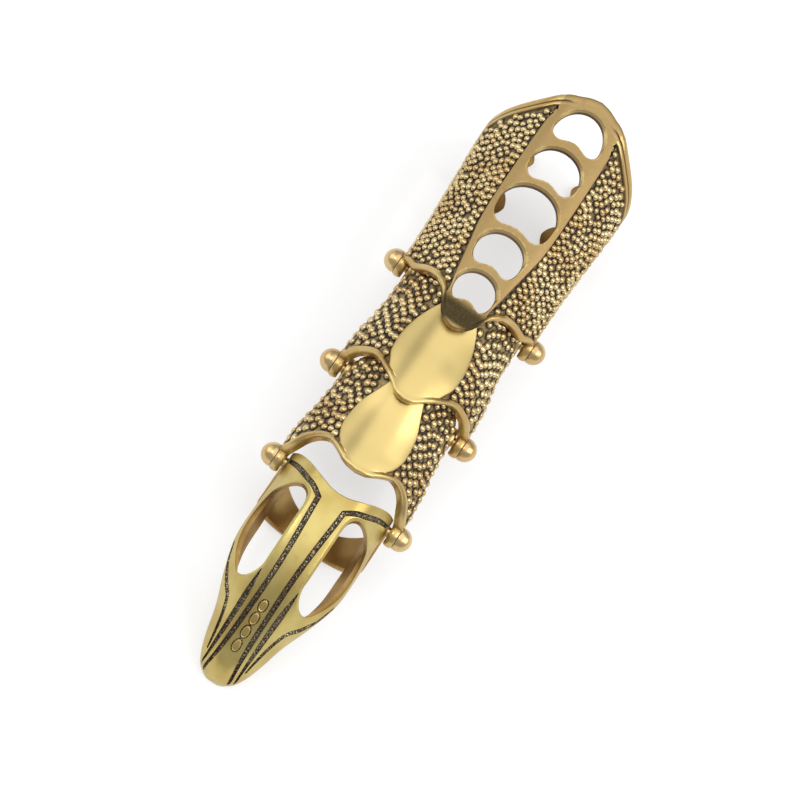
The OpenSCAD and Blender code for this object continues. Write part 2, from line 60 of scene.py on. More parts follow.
# The beaded base plate. One zinc alloy casting, plated in antique gold and rubbed back, so that the beads,
# rims and the flat top strip are bright and the ground between the beads keeps a dark brown patina.

base_side = 10.1
base_crest = 19.7
root_reach = 30.5
shell_wall = 1.05
ground_depth = 0.35
rim_rise = 0.25
rim_w = 0.85
rim_bank_w = 0.18
rim_slant_most = 1.35
bank_w = 0.3
foot_w = 0.9
# y, half width of the top, height of the top, half width, height of the brow, height of the foot
base_rows = [
    [-7.8, 4.6, base_crest, base_side, 11.6, 7.3],
    [0, 4.6, base_crest, base_side, 11.6, 7.3],
    [6, 5, base_crest, base_side + 0.05, 12, 7.2],
    [13, 5.1, base_crest, base_side + 0.35, 12.2, 7.1],
    [21, 5.1, base_crest, base_side + 0.75, 12.3, 7.1],
    [26, 5, base_crest, base_side + 0.6, 12.3, 7.3],
    [root_reach, 4.9, base_crest, base_side + 0.3, 12.3, 7.5],
]
base_strip = [
    [-7.8, 3], [-3.2, 3], [-1.2, 3.35], [0.85, 3.65], [3.6, 4.1], [7.7, 4.7], [13, 4.85], [20, 4.8],
    [24, 4.7], [26.6, 4.4], [root_reach, 4.2],
]
# turn round the section, y behind the hinge at that edge
base_front = [
    [0, -7.7], [0.3, -7.35], [0.59, -6.6], [0.72, -5.9], [0.87, -4.4], [1, -3.6], [1.11, -2.8],
    [1.44, -1.8], [1.72, -1.5], [1.88, -0.9], [2, -0.5], [2.4, 0.1], [3, 0.6],
]
base_root = [
    [0, root_reach], [0.33, 30.15], [0.62, 29.5], [0.94, 28.85], [1.28, 27.6], [1.61, 26.4], [1.86, 25.2],
    [2, 24.5], [2.4, 23.1], [2.75, 21.6], [3, 20.4],
]


def read(table, place, column=1):
    """One column of a table whose first column rises, on a smooth curve through its rows."""
    table = np.array(table, float)
    knots = table[:, 0]
    values = table[:, column]
    before = np.maximum(np.arange(len(knots)) - 1, 0)
    after = np.minimum(np.arange(len(knots)) + 1, len(knots) - 1)
    lean = (values[after] - values[before]) / (knots[after] - knots[before])
    k = np.clip(np.searchsorted(knots, place, side="right") - 1, 0, len(knots) - 2)
    step = knots[k + 1] - knots[k]
    t = np.clip((place - knots[k]) / step, 0, 1)
    rise = (t**3 - 2 * t**2 + t) * lean[k] * step + (t**3 - t**2) * lean[k + 1] * step
    return (2 * t**3 - 3 * t**2 + 1) * values[k] + (3 * t**2 - 2 * t**3) * values[k + 1] + rise


def ease(t):
    """A smooth step from 0 to 1."""
    t = np.clip(t, 0, 1)
    return t * t * (3 - 2 * t)


def arch(rows, y, turn, sink, soft):
    """Half of an arched section at y: turn 0, 1, 2 and 3 are its crest, shoulder, brow and foot."""
    top, crest, side, brow, foot = (read(rows, y, k) for k in range(1, 6))
    tilt = np.arctan2(crest - brow, side - top)
    corners = [
        np.stack(np.broadcast_arrays(0 * turn, crest - sink)),
        np.stack(np.broadcast_arrays(top - sink * np.tan(tilt / 2), crest - sink)),
        np.stack(np.broadcast_arrays(side - sink, brow - sink * np.tan((math.pi / 2 - tilt) / 2))),
        np.stack(np.broadcast_arrays(side - sink, foot + 0 * sink)),
    ]

    def straight(t):
        return sum(np.clip(1 - abs(t - k), 0, 1) * corners[k] for k in range(4))

    bend = np.where(turn < 2 - soft[1], 1, 2)
    start = bend - np.where(bend == 1, soft[0], soft[1])
    end = bend + np.where(bend == 1, min(soft[0], 1 - soft[1]), soft[1])
    q = np.clip((turn - start) / (end - start), 0, 1)
    corner = np.where(bend == 1, corners[1], corners[2])
    rounded = (1 - q) ** 2 * straight(start) + 2 * q * (1 - q) * corner + q**2 * straight(end)
    return np.where((q > 0) & (q < 1), rounded, straight(turn))


def half_girth(rows, y):
    top, crest, side, brow, foot = (read(rows, y, k) for k in range(1, 6))
    return top + np.hypot(side - top, crest - brow) + brow - foot


def turn_at(rows, y, reach):
    """Where a length along the surface from the crest lies, as a turn round the section."""
    top, crest, side, brow, foot = (read(rows, y, k) for k in range(1, 6))
    flank = np.hypot(side - top, crest - brow)
    on_flank = 1 + (reach - top) / flank
    on_wall = np.minimum(2 + (reach - top - flank) / (brow - foot), 3)
    return np.where(reach < top, reach / top, np.where(reach < top + flank, on_flank, on_wall))


# zones across a shell, from crest to foot, and kinds of line along it, from its tip end to its root end
MIDDLE, BANK, BEADS, FOOT_BANK, FOOT = range(5)
RIM, RIM_BANK, FIELD, REAR_BANK, REAR_RIM = range(5)
half_columns = (
    [[MIDDLE, t] for t in np.linspace(0, 1, 15)]
    + [[BANK, t] for t in (0.35, 0.7, 1)]
    + [[BEADS, t] for t in np.linspace(0, 1, 81)[1:]]
    + [[FOOT_BANK, t] for t in (0.5, 1)]
    + [[FOOT, t] for t in (0.3, 0.6, 0.85, 1)]
)
shell_columns = np.array([[-1, *c] for c in half_columns[:0:-1]] + [[1, *c] for c in half_columns])
# place across the front rim, how far it lies below the smooth face beside the beads, and in the middle
rim_roll = [
    [0, 0.8, 0.8], [0.001, 0.42, 0.42], [0.03, 0.16, 0.18], [0.09, -0.02, 0.06], [0.18, -0.14, 0],
    [0.3, -0.22, -0.03], [0.46, -0.25, -0.03], [0.62, -0.23, -0.02], [0.78, -0.16, -0.01], [0.91, -0.04, 0],
    [1, 0.1, 0],
]
# place across the root rim, how far it lies below the smooth face beside the beads, and in the middle
rear_roll = [
    [0, 0.02, 0.01], [0.08, -0.03, 0], [0.2, -0.04, -0.01], [0.27, -0.02, -0.02], [0.32, 0.12, -0.02],
    [0.37, 0.12, -0.03], [0.42, -0.05, -0.04], [0.56, -0.1, -0.08], [0.72, -0.1, -0.1], [0.86, -0.06, -0.06],
    [0.94, 0.04, 0.05], [0.99, 0.22, 0.25], [1, 0.7, 0.7],
]


def shell_lines(steps, rear_rim):
    """Rows of a shell's grid, from its front edge to its rear edge: [zone, place in it]."""
    rim = [[RIM, row[0]] for row in rim_roll]
    bank = [[RIM_BANK, t] for t in (0.5, 1)]
    field = [[FIELD, t] for t in np.linspace(0, 1, steps)[1:]]
    rear = [[REAR_BANK, 0.5], [REAR_BANK, 1]]
    if rear_rim:
        rear = rear + [[REAR_RIM, row[0]] for row in rear_roll]
    return np.array(rim + bank + field + rear)


def shell_points(form, side, zone, t, kind, place, sink):
    """Points of a shell, measured from the hinge at the named end of its section rows."""
    rows = form["rows"]

    def reach(y):
        middle = read(form["middle"], y)
        girth = half_girth(rows, y)
        return np.select(
            [zone == MIDDLE, zone == BANK, zone == BEADS, zone == FOOT_BANK],
            [
                middle * t,
                middle + bank_w * t,
                (middle + bank_w) * (1 - t) + (girth - foot_w) * t,
                girth - foot_w + bank_w * t,
            ],
            girth - (foot_w - bank_w) * (1 - t),
        )

    start = form["start"] + 0 * t
    rear_place = form["rear_place"] + 0 * t
    front_turn = turn_at(rows, start, reach(start))
    rear_turn = turn_at(rows, rear_place, reach(rear_place))
    slant = (read(form["front"], front_turn + 0.05) - read(form["front"], front_turn - 0.05)) / 0.55
    rim = rim_w * np.minimum(np.sqrt(1 + slant**2), rim_slant_most)
    y_front = start + read(form["front"], front_turn)
    y_rear = read(form["rear"], rear_turn)
    rear_rim = form["rear_rim"]
    y_low = y_front + rim + rim_bank_w
    y_high = y_rear - (rear_rim + rim_bank_w if rear_rim else 0.4)
    y = np.select(
        [kind == RIM, kind == RIM_BANK, kind == FIELD, kind == REAR_BANK],
        [
            y_front + rim * place,
            y_front + rim + rim_bank_w * place,
            y_low * (1 - place) + y_high * place,
            y_high * (1 - place) + (y_rear - rear_rim) * place,
        ],
        y_rear - rear_rim * (1 - place),
    )
    turn = turn_at(rows, y, reach(y))
    x, z = arch(rows, y, turn, sink, form["soft"])
    if form["pin_z"] is not None:
        arm = z - form["pin_z"]
        z = np.where((y > 0) & (arm > y), form["pin_z"] + np.sqrt(np.maximum(arm**2 - y**2, 0)), z)
    return np.stack(np.broadcast_arrays(side * x, y, z), axis=-1)


def shell_relief(form, zone, t, kind, place):
    """How far each point of the outer face is sunk, and how much of the ground's patina it holds."""
    lined = (kind == REAR_RIM) & (place > 0.28) & (place < 0.41)
    across = np.select([zone == BANK, zone == BEADS, zone == FOOT_BANK], [ease(t), 1 + 0 * t, 1 - ease(t)], 0)
    rear = 1 - ease(place) if form["rear_rim"] else 1 + 0 * place
    kinds = [kind == RIM_BANK, kind == FIELD, kind == REAR_BANK]
    along = np.select(kinds, [ease(place), 1 + 0 * place, rear], 0)
    deep = across * along
    beside = np.where(zone == MIDDLE, ease((t - 0.6) / 0.4), 1)
    beaded_rim = read(rim_roll, place, 1)
    plain_rim = read(rim_roll, place, 2)
    roll = np.where(kind == RIM, plain_rim + (beaded_rim - plain_rim) * beside, 0)
    beaded_rear = read(rear_roll, place, 1)
    plain_rear = read(rear_roll, place, 2)
    roll = np.where(kind == REAR_RIM, plain_rear + (beaded_rear - plain_rear) * beside, roll)
    foot_edge = np.where(zone == FOOT, 0.25 * ease((t - 0.6) / 0.4), 0)
    held = ease(np.minimum(1.5 * across, 1)) * ease(np.minimum(1.5 * along, 1))
    chance = np.random.default_rng(5)
    uneven = np.clip(chance.normal(0, 0.035, deep.shape), -0.07, 0.07) * (deep > 0.99)
    return roll + ground_depth * deep + foot_edge + uneven, np.where(lined, 0.8 * beside, held)


def grid_faces(count, width, start, flip):
    """Quads of a grid with count columns of width points each, whose first point is number start."""
    i, j = np.meshgrid(np.arange(count - 1), np.arange(width - 1), indexing="ij")
    a = (start + i * width + j).ravel()
    quads = np.stack([a, a + 1, a + width + 1, a + width], axis=1)
    return quads[:, ::-1] if flip else quads


def ring_faces(levels, count, closed=False, flip=False):
    """Faces of a tube through rings of count points each. It has end caps, or is closed round on itself."""
    faces = [] if closed else [list(range(count)), list(range((levels - 1) * count, levels * count))[::-1]]
    for level in range(levels if closed else levels - 1):
        after = (level + 1) % levels
        for k in range(count):
            b = (k + 1) % count
            quad = [level * count + k, level * count + b, after * count + b, after * count + k]
            faces.append([quad[0], *quad[:0:-1]] if flip else quad)
    return faces


def new_piece(name, points, faces, finishes, finish_of_face=None, layers=None):
    """A mesh object from points in millimetres. Its layers hold a value from 0 to 1 at each point for the
    finish: hollow holds patina, calm is polished plain, dull is matt olive, and satin is brushed and even."""
    mesh = bpy.data.meshes.new(name)
    mesh.from_pydata((np.array(points) * MM).tolist(), [], [list(map(int, f)) for f in faces])
    for finish in finishes:
        mesh.materials.append(finish)
    if finish_of_face is not None:
        mesh.polygons.foreach_set("material_index", np.array(finish_of_face, np.int32))
    for layer in ("hollow", "calm", "dull", "satin"):
        values = (layers or {}).get(layer, np.zeros(len(mesh.vertices)))
        mesh.attributes.new(layer, "FLOAT", "POINT").data.foreach_set("value", np.array(values, np.float32))
    shape = bmesh.new()
    shape.from_mesh(mesh)
    bmesh.ops.recalc_face_normals(shape, faces=shape.faces)
    shape.to_mesh(mesh)
    shape.free()
    piece = bpy.data.objects.new(name, mesh)
    bpy.context.scene.collection.objects.link(piece)
    return piece


def soften(piece, limit=math.radians(34)):
    """Shades a piece smooth, with a crisp edge wherever two faces meet at more than the limit."""
    shape = bmesh.new()
    shape.from_mesh(piece.data)
    for face in shape.faces:
        face.smooth = True
    for edge in shape.edges:
        edge.smooth = len(edge.link_faces) == 2 and edge.calc_face_angle(0) < limit
    shape.to_mesh(piece.data)
    shape.free()


def cut_away(body, cutters):
    """Cuts each of the cutters out of a body in turn. The cut faces take the cutter's finish."""
    for cutter in cutters:
        cut = body.modifiers.new("cut", "BOOLEAN")
        cut.operation = "DIFFERENCE"
        cut.solver = "EXACT"
        cut.material_mode = "TRANSFER"
        cut.object = cutter
        bpy.context.view_layer.update()
        whole = body.evaluated_get(bpy.context.evaluated_depsgraph_get())
        made = bpy.data.meshes.new_from_object(whole)
        body.modifiers.clear()
        body.data = made
        bpy.data.objects.remove(cutter)


def join_on(body, others):
    """Makes one casting of a body and the pieces that stand on it."""
    with bpy.context.temp_override(active_object=body, selected_editable_objects=[body, *others]):
        bpy.ops.object.join()


def thinned(count, every):
    return sorted({*range(0, count - 1, every), count - 1})


def arched_shell(name, form, pin, finishes):
    """A shell's closed mesh: a fine outer face with its relief, a coarser inner face, and their edges."""
    lines = shell_lines(form["steps"], form["rear_rim"])
    side, zone, t = (shell_columns[:, k][:, None] for k in range(3))
    kind, place = (lines[:, k][None, :] for k in range(2))
    sink, ground = shell_relief(form, zone, t, kind, place)
    outer = shell_points(form, side, zone, t, kind, place, sink)
    inner = shell_points(form, side, zone, t, kind, place, shell_wall + 0 * sink)
    count, width = sink.shape
    inner_columns = thinned(count, 4)
    inner_lines = thinned(width, 4)
    inner = inner[np.ix_(inner_columns, inner_lines)]
    whole = count * width
    faces = grid_faces(count, width, 0, False).tolist()
    outside = len(faces)
    faces += grid_faces(len(inner_columns), len(inner_lines), whole, True).tolist()
    inside = len(faces)
    across = len(inner_lines)
    for a in range(len(inner_columns) - 1):
        fine = np.arange(inner_columns[a], inner_columns[a + 1] + 1)
        for j, b in ((0, 0), (width - 1, across - 1)):
            low = whole + a * across + b
            faces.append([*(fine * width + j), low + across, low])
    for b in range(across - 1):
        fine = np.arange(inner_lines[b], inner_lines[b + 1] + 1)
        for i, a in ((0, 0), (count - 1, len(inner_columns) - 1)):
            low = whole + a * across + b
            faces.append([*(fine + i * width), low + 1, low])
    finish_of_face = [1 if outside <= k < inside else 0 for k in range(len(faces))]
    points = np.concatenate([outer.reshape(-1, 3), inner.reshape(-1, 3)])
    rest = np.zeros(len(points) - whole)
    calm = (form["polish"] * (1 - ease(np.where(zone == MIDDLE, t, 2) * 14 - 13)) + 0 * sink).ravel()
    x, y = points[:, 0], points[:, 1]
    dull = 0 * y
    if form["dull_from"]:
        tongue = 1 - ease((np.abs(x) - 2.6) / 1.4)
        dull = ease((form["dull_from"] - y) / 1.6) * tongue * ease((y - form["start"] + 7.5) / 0.7)
    satin = form["satin"] * (1 - ease(np.where(zone == MIDDLE, 0, t) * 2)) * (zone <= BANK)
    layers = {
        "hollow": np.concatenate([ground.ravel(), rest]),
        "calm": np.concatenate([calm, rest]),
        "dull": dull,
        "satin": np.concatenate([(satin + 0 * sink).ravel(), rest]),
    }
    return new_piece(name, points + [0, pin[1], 0], faces, finishes, finish_of_face, layers)


bead_start = 0.42
bead_margin = 0.4


def bead_places(form, pin, pitch, seed):
    """Centres and outward directions of a shell's beads. They are set by hand in the wax, so they start from
    staggered rows, are shaken a little, and then push one another apart until they fill the field."""
    chance = np.random.default_rng(seed)
    places = []
    outs = []
    t = np.linspace(0, 1, 41)
    for side in (-1, 1):
        edges = [
            shell_points(form, side, BEADS, t, FIELD, e + 0 * t, ground_depth + 0 * t) for e in (0, 0.5, 1)
        ]
        width = np.linalg.norm(np.diff(edges[1], axis=0), axis=1).sum()

        def span(across):
            return (np.interp(across / width, t, edges[end][:, 1]) for end in (0, 2))

        def kept_in(spots):
            low, high = span(spots[:, 0])
            low = low + bead_margin
            across = np.clip(spots[:, 0], bead_start, width - bead_margin)
            y = np.clip(spots[:, 1], low, np.maximum(high - bead_margin, low + 0.01))
            return np.column_stack([across, y])

        spots = []
        for k, across in enumerate(np.arange(bead_start, width - 0.3, 0.87 * pitch)):
            low, high = span(across)
            first = low + bead_margin + (k % 2) * pitch / 2
            spots += [[across, y] for y in np.arange(first, high - bead_margin, pitch)]
        spots = kept_in(np.array(spots) + chance.normal(0, 0.24 * pitch, (len(spots), 2)))
        for _ in range(16):
            apart = spots[:, None] - spots[None]
            gap = np.linalg.norm(apart, axis=2) + np.eye(len(spots)) * 9
            push = np.clip(0.93 * pitch - gap, 0, None) / gap * 0.3
            spots = kept_in(spots + (apart * push[:, :, None]).sum(axis=1))
        low, high = span(spots[:, 0])
        u = spots[:, 0] / width
        place = (spots[:, 1] - low) / (high - low)
        here = shell_points(form, side, BEADS, u, FIELD, place, ground_depth)
        along = shell_points(form, side, BEADS, u, FIELD, place + 0.004, ground_depth) - here
        across = shell_points(form, side, BEADS, u + 0.004, FIELD, place, ground_depth) - here
        out = np.cross(across, along) * side
        places.append(here + [0, pin[1], 0])
        outs.append(out / np.linalg.norm(out, axis=1)[:, None])
    return np.concatenate(places), np.concatenate(outs)


def bead_piece(name, places, radius, rise, finish, seed):
    """All of a shell's beads as one mesh of small domes, each a little different, as cast beads are."""
    chance = np.random.default_rng(seed)
    centres, outs = places
    ring = 10
    bow = np.radians([18, 38, 58, 76, 90, 90])
    lift = np.array([0, 0, 0, 0, 0, -0.14])
    turn = np.linspace(0, 2 * math.pi, ring, endpoint=False)
    points = []
    faces = []
    hollow = []
    for centre, out in zip(centres, outs):
        r = radius * (1 + np.clip(chance.normal(0, 0.1), -0.2, 0.16))
        h = min(rise * (1 + chance.normal(0, 0.12)), ground_depth + 0.15)
        squeeze = 1 + chance.normal(0, 0.06)
        u = np.cross(out, [0, 1, 0])
        u /= np.linalg.norm(u)
        v = np.cross(out, u)
        first = len(points)
        points.append(centre + out * h)
        hollow.append(0)
        for a, down in zip(bow, lift):
            for w in turn:
                flat = r * math.sin(a) * (math.cos(w) * u * squeeze + math.sin(w) * v / squeeze)
                points.append(centre + flat + out * (h * math.cos(a) + down))
                hollow.append(float(ease((math.degrees(a) - 52) / 34)))
        for k in range(ring):
            after = (k + 1) % ring
            faces.append([first, first + 1 + k, first + 1 + after])
            for level in range(len(bow) - 1):
                low = first + 1 + level * ring
                faces.append([low + k, low + ring + k, low + ring + after, low + after])
    return new_piece(name, points, faces, [finish], None, {"hollow": hollow})


def darken_round_beads(piece, places, radius, rubbed):
    """The patina is darkest in a ring round each bead and partly rubbed off on the ground between them."""
    centres = places[0]
    tree = kdtree.KDTree(len(centres))
    for k, centre in enumerate(centres):
        tree.insert(Vector(centre * MM), k)
    tree.balance()
    layer = piece.data.attributes["hollow"].data
    for vertex in piece.data.vertices:
        held = layer[vertex.index].value
        if held > 0.97:
            gap = tree.find(vertex.co)[2] / MM - radius
            layer[vertex.index].value = held * (1 - rubbed * float(ease((gap - 0.08) / 0.16)))


class Signal:
    """A socket in a finish's node tree. Arithmetic on it adds Math nodes, and node() adds any other node."""

    def __init__(self, tree, socket=None):
        self.tree = tree
        self.socket = socket

    def node(self, kind, settings=None, inputs=None, output=0):
        made = self.tree.nodes.new(kind)
        for name, value in (settings or {}).items():
            setattr(made, name, value)
        for name, value in (inputs or {}).items():
            if isinstance(value, Signal):
                self.tree.links.new(value.socket, made.inputs[name])
            else:
                made.inputs[name].default_value = value
        return Signal(self.tree, made.outputs[output]) if made.outputs else made

    def maths(self, operation, first, second=0.0):
        return self.node("ShaderNodeMath", {"operation": operation}, {0: first, 1: second})

    def __add__(self, other):
        return self.maths("ADD", self, other)

    __radd__ = __add__

    def __sub__(self, other):
        return self.maths("SUBTRACT", self, other)

    def __rsub__(self, other):
        return self.maths("SUBTRACT", other, self)

    def __mul__(self, other):
        return self.maths("MULTIPLY", self, other)

    __rmul__ = __mul__

    def __truediv__(self, other):
        return self.maths("DIVIDE", self, other)

    def __pow__(self, other):
        return self.maths("POWER", self, other)

    def held(self):
        """The signal kept between 0 and 1."""
        return self.node("ShaderNodeClamp", None, {"Value": self})

    def step(self, low, high):
        """0 below low, 1 above high, smooth between."""
        return self.node(
            "ShaderNodeMapRange",
            {"interpolation_type": "SMOOTHSTEP"},
            {"Value": self, "From Min": low, "From Max": high},
        )

    def tint(self, low, high):
        """A colour from low where the signal is 0 to high where it is 1."""
        return self.node("ShaderNodeMix", {"data_type": "RGBA"}, {0: self, 6: low, 7: high}, 2)


def colour(red, green, blue):
    """A linear colour from the values that a picture of it shows, 0 to 255."""
    return (*(((v / 255 + 0.055) / 1.055) ** 2.4 if v > 10 else v / 3295 for v in (red, green, blue)), 1.0)


def cast_finish(name, bright, warm, patina, rough=0.3, crevice_shade_and_patina=0.35, held=0.0, specks=0.0, pits=0.012):
    """Antique gold plate: bright metal with slow warm patches, patina wherever the casting is hollow, and
    painted shade in the crevices that stands partly for the patina there.
    Held is the patina that the whole face keeps, specks is how much of it is rubbed through in spots, and the
    crevice weight is how dark the crevices are painted."""
    material = bpy.data.materials.new(name)
    material.use_nodes = True
    tree = material.node_tree
    tree.nodes.clear()
    start = Signal(tree)
    place = start.node("ShaderNodeTexCoord", None, None, 3)

    def noise(scale, detail=3.0, roughness=0.55):
        inputs = {"Vector": place, "Scale": scale, "Detail": detail, "Roughness": roughness}
        return start.node("ShaderNodeTexNoise", None, inputs)

    def layer(word):
        return start.node("ShaderNodeAttribute", {"attribute_name": word}, None, 2)

    slow = noise(180, 2.0)
    cloud = noise(900, 3.0)
    grain = noise(5200, 2.0, 0.7)
    hollow = layer("hollow")
    calm = layer("calm")
    dull = layer("dull")
    satin = layer("satin")
    nearby = {"samples": 8, "only_local": True}
    # ambient occlusion finds the crevices, which get painted shade that stands partly for the patina in them;
    # it is mixed with the real patina and dirt below
    shade = start.node("ShaderNodeAmbientOcclusion", nearby, {"Distance": 0.9 * MM}, 1)
    crevice_shade = (1 - shade).step(0.42, 0.8)
    worn = 1 - calm
    smudge = cloud.step(0.58, 0.75) * 0.1 * worn
    patina_dirt_and_shade = (hollow * (0.72 + cloud * 0.5) + crevice_shade * crevice_shade_and_patina + smudge + held).held()
    patina_dirt_and_shade = (patina_dirt_and_shade - grain.step(0.52, 0.62) * specks).held()
    metal = (slow.step(0.35, 0.65) * worn).tint(bright, warm)
    metal = (cloud.step(0.3, 0.8) * worn * 0.25).tint(metal, warm)
    metal = calm.tint(metal, shield_tone)
    metal = (satin * (0.75 + grain * 0.3)).held().tint(metal, strip_tone)
    metal = (dull * (0.7 + grain * 0.45)).held().tint(metal, olive_grey)
    height = (grain * 0.6 + cloud * 0.4) * (1 - calm * 0.9)
    surface = start.node("ShaderNodeBump", None, {"Strength": 0.6, "Distance": pits * MM, "Height": height})
    wear = grain.step(0.3, 0.7) * worn * 0.08
    shader = start.node("ShaderNodeBsdfPrincipled", None, {
        "Base Color": patina_dirt_and_shade.tint(metal, patina),
        "Metallic": 1 - patina_dirt_and_shade * 0.85,
        "Roughness": (rough + wear + patina_dirt_and_shade * 0.35 + dull * 0.25 + calm * 0.06 + satin * 0.2).held(),
        "Normal": surface,
    })
    start.node("ShaderNodeOutputMaterial", None, {"Surface": shader})
    return material


patina_brown = colour(38, 27, 17)
shield_tone = colour(208, 184, 120)
strip_tone = colour(166, 139, 92)
olive_grey = colour(78, 68, 46)
beaded_gold = cast_finish(
    "beaded_gold", colour(198, 174, 118), colour(188, 156, 98), patina_brown, rough=0.27
)
bead_gold = cast_finish(
    "bead_gold", colour(218, 195, 145), colour(194, 164, 112), patina_brown, rough=0.2, crevice_shade_and_patina=0.36, pits=0.03
)
inside_gold = cast_finish(
    "inside_gold", colour(164, 132, 76), colour(136, 102, 54), colour(66, 46, 24), rough=0.42
)
cut_gold = cast_finish("cut_gold", colour(120, 84, 50), colour(84, 54, 34), colour(40, 25, 16), rough=0.4)
pit_dark = cast_finish("pit_dark", colour(96, 68, 42), colour(70, 48, 30), patina_brown, rough=0.5, held=0.8)


cutter_top = 26.0


def outline_cutter(name, outline, top_of, floor, flare, finishes):
    """A cutter for a hole seen from above, with the finishes of its wall and of its worn upper edge."""
    outline = np.array(outline, float)
    ahead = np.roll(outline, -1, axis=0) - np.roll(outline, 1, axis=0)
    turned = np.stack([ahead[:, 1], -ahead[:, 0]], axis=1)
    turned /= np.linalg.norm(turned, axis=1)[:, None]
    area = np.sum(outline[:, 0] * np.roll(outline[:, 1], -1) - np.roll(outline[:, 0], -1) * outline[:, 1])
    wide = outline + turned * np.sign(area) * np.reshape(flare, (-1, 1)) * 1.3
    top = np.array([top_of(x, y) for x, y in outline])
    rings = [
        np.column_stack([outline, np.full(len(outline), floor)]),
        np.column_stack([outline, top - flare]),
        np.column_stack([wide, top + 0.3 * flare]),
        np.column_stack([wide, np.full(len(outline), cutter_top)]),
    ]
    count = len(outline)
    finish_of_face = [0, 0] + [0] * count + [1] * count + [0] * count
    return new_piece(name, np.concatenate(rings), ring_faces(4, count), finishes, finish_of_face)


square_power = 0.62
hump_half = 0.8
hump_rise = 0.9


def crescent(half, rise, drop):
    """A round arc to the root, and a squarer edge with a broad rise in its middle to the tip."""
    points = []
    for a in np.radians(np.arange(0, 360, 5)):
        c, s = math.cos(a), math.sin(a)
        if s >= 0:
            points.append([half * c, rise * s])
        else:
            x = half * math.copysign(abs(c) ** square_power, c)
            hump = (1 + math.cos(math.pi * x / (hump_half * half))) / 2 if abs(x) < hump_half * half else 0
            points.append([x, -drop * abs(s) ** square_power + hump_rise * hump])
    return np.array(points)


# place behind the first hinge, half width, reach to the root, reach to the tip
crescents = [
    [24, 3.4, 4.1, 1.55],
    [18.3, 3.5, 3.35, 2.6],
    [11.3, 4.1, 3.9, 3.45],
    [4.4, 3.25, 3, 2.9],
    [-1.7, 2.8, 2.65, 2.6],
]
base_form = {
    "rows": base_rows, "middle": base_strip, "front": base_front, "rear": base_root, "pin_z": None,
    "steps": 160, "start": 0, "rear_place": 24, "rear_rim": 1.9, "soft": [0.35, 0.3], "polish": 0.0,
    "satin": 1.0, "dull_from": -3.3,
}
base = arched_shell("base_casting", base_form, root_pin, [beaded_gold, inside_gold])
for number, (place, half, rise, drop) in enumerate(crescents):
    outline = crescent(half, rise, drop) + [0, root_pin[1] + place]
    flare = np.where(crescent(half, rise, drop)[:, 1] > 0, 0.3, 0.16)
    cutter = outline_cutter(
        f"crescent_{number}", outline, lambda x, y: base_crest, base_crest - 4, flare, [cut_gold, beaded_gold]
    )
    cut_away(base, [cutter])


# small three-cornered punch marks where the strip's edge meets the root rim: x, y behind the hinge, turned
punch_marks = [[4.55, 26.35, 0], [4.75, 25.2, 60]]


def punch(name, x, y, turned, side):
    corners = np.radians([turned + 90, turned + 210, turned + 330])
    outline = [[side * (x + 0.34 * math.cos(a)), root_pin[1] + y + 0.5 * math.sin(a)] for a in corners]
    turn = turn_at(base_rows, y, np.array([x]))
    height = float(arch(base_rows, np.array([y]), turn, 0.0, base_form["soft"])[1][0])
    flare = np.full(len(outline), 0.02)
    return outline_cutter(name, outline, lambda px, py: height, height - 0.6, flare, [pit_dark, pit_dark])


for number, (x, y, turned) in enumerate(punch_marks):
    cut_away(base, [punch(f"punch_{number}_{side + 1}", x, y, turned, side) for side in (-1, 1)])


round_steps = 48


def turned_piece(name, profile, pin, side, finish):
    """A round part on a hinge's axis: rows of [distance out from the middle of the ring, radius]."""
    angles = np.linspace(0, 2 * math.pi, round_steps, endpoint=False)
    points = [
        [side * out, pin[1] + radius * math.cos(a), pin[2] + radius * math.sin(a)]
        for out, radius in profile
        for a in angles
    ]
    return new_piece(name, points, ring_faces(len(profile), round_steps), [finish])


def ears(name, inner, outer, pin, finish):
    """A pair of round ears with a hole for the rivet's shank."""
    hole = shank_r + 0.05
    middle = (inner + outer) / 2
    half = (outer - inner) / 2
    profile = [[inner + 0.05, hole], [inner, hole + 0.06]]
    for a in np.radians([-90, -72, -54, -36, -18, 0, 18, 36, 54, 72, 90]):
        profile.append([middle + half * math.sin(a), ear_r - 0.3 + 0.3 * math.cos(a)])
    profile += [[outer, hole + 0.06], [outer - 0.05, hole]]
    pair = []
    for side, word in both_sides:
        piece = turned_piece(f"{name}_{word}", profile, pin, side, finish)
        shape = bmesh.new()
        shape.from_mesh(piece.data)
        shape.faces.ensure_lookup_table()
        bmesh.ops.delete(shape, geom=[f for f in shape.faces if len(f.verts) > 4], context="FACES_ONLY")
        shape.verts.ensure_lookup_table()
        for k in range(round_steps):
            low = [shape.verts[k], shape.verts[(k + 1) % round_steps]]
            high = [shape.verts[(len(profile) - 1) * round_steps + i] for i in ((k + 1) % round_steps, k)]
            shape.faces.new(low + high)
        shape.to_mesh(piece.data)
        shape.free()
        pair.append(piece)
    return pair


base_bead_pitch = 1.1
base_bead_r = 0.48
base_bead_rise = 0.47
base_bead_places = bead_places(base_form, root_pin, base_bead_pitch, 11)
darken_round_beads(base, base_bead_places, base_bead_r, 0.3)
base_beads = bead_piece("base_beads", base_bead_places, base_bead_r, base_bead_rise, bead_gold, 12)
base_ears = ears("base_ear", base_side - ear_wall, base_side + rim_rise, root_pin, beaded_gold)


# The open shank. Two pairs of flat arms are cast with the base plate and bent round the finger: a smooth
# front pair with round ends, and a rougher slanted pair behind it. They are the only part that grips.

finger_r = 9.0
arm_r = 10.1
arm_gap = 3.2
ring_z = math.sqrt(arm_r**2 - arm_gap**2)


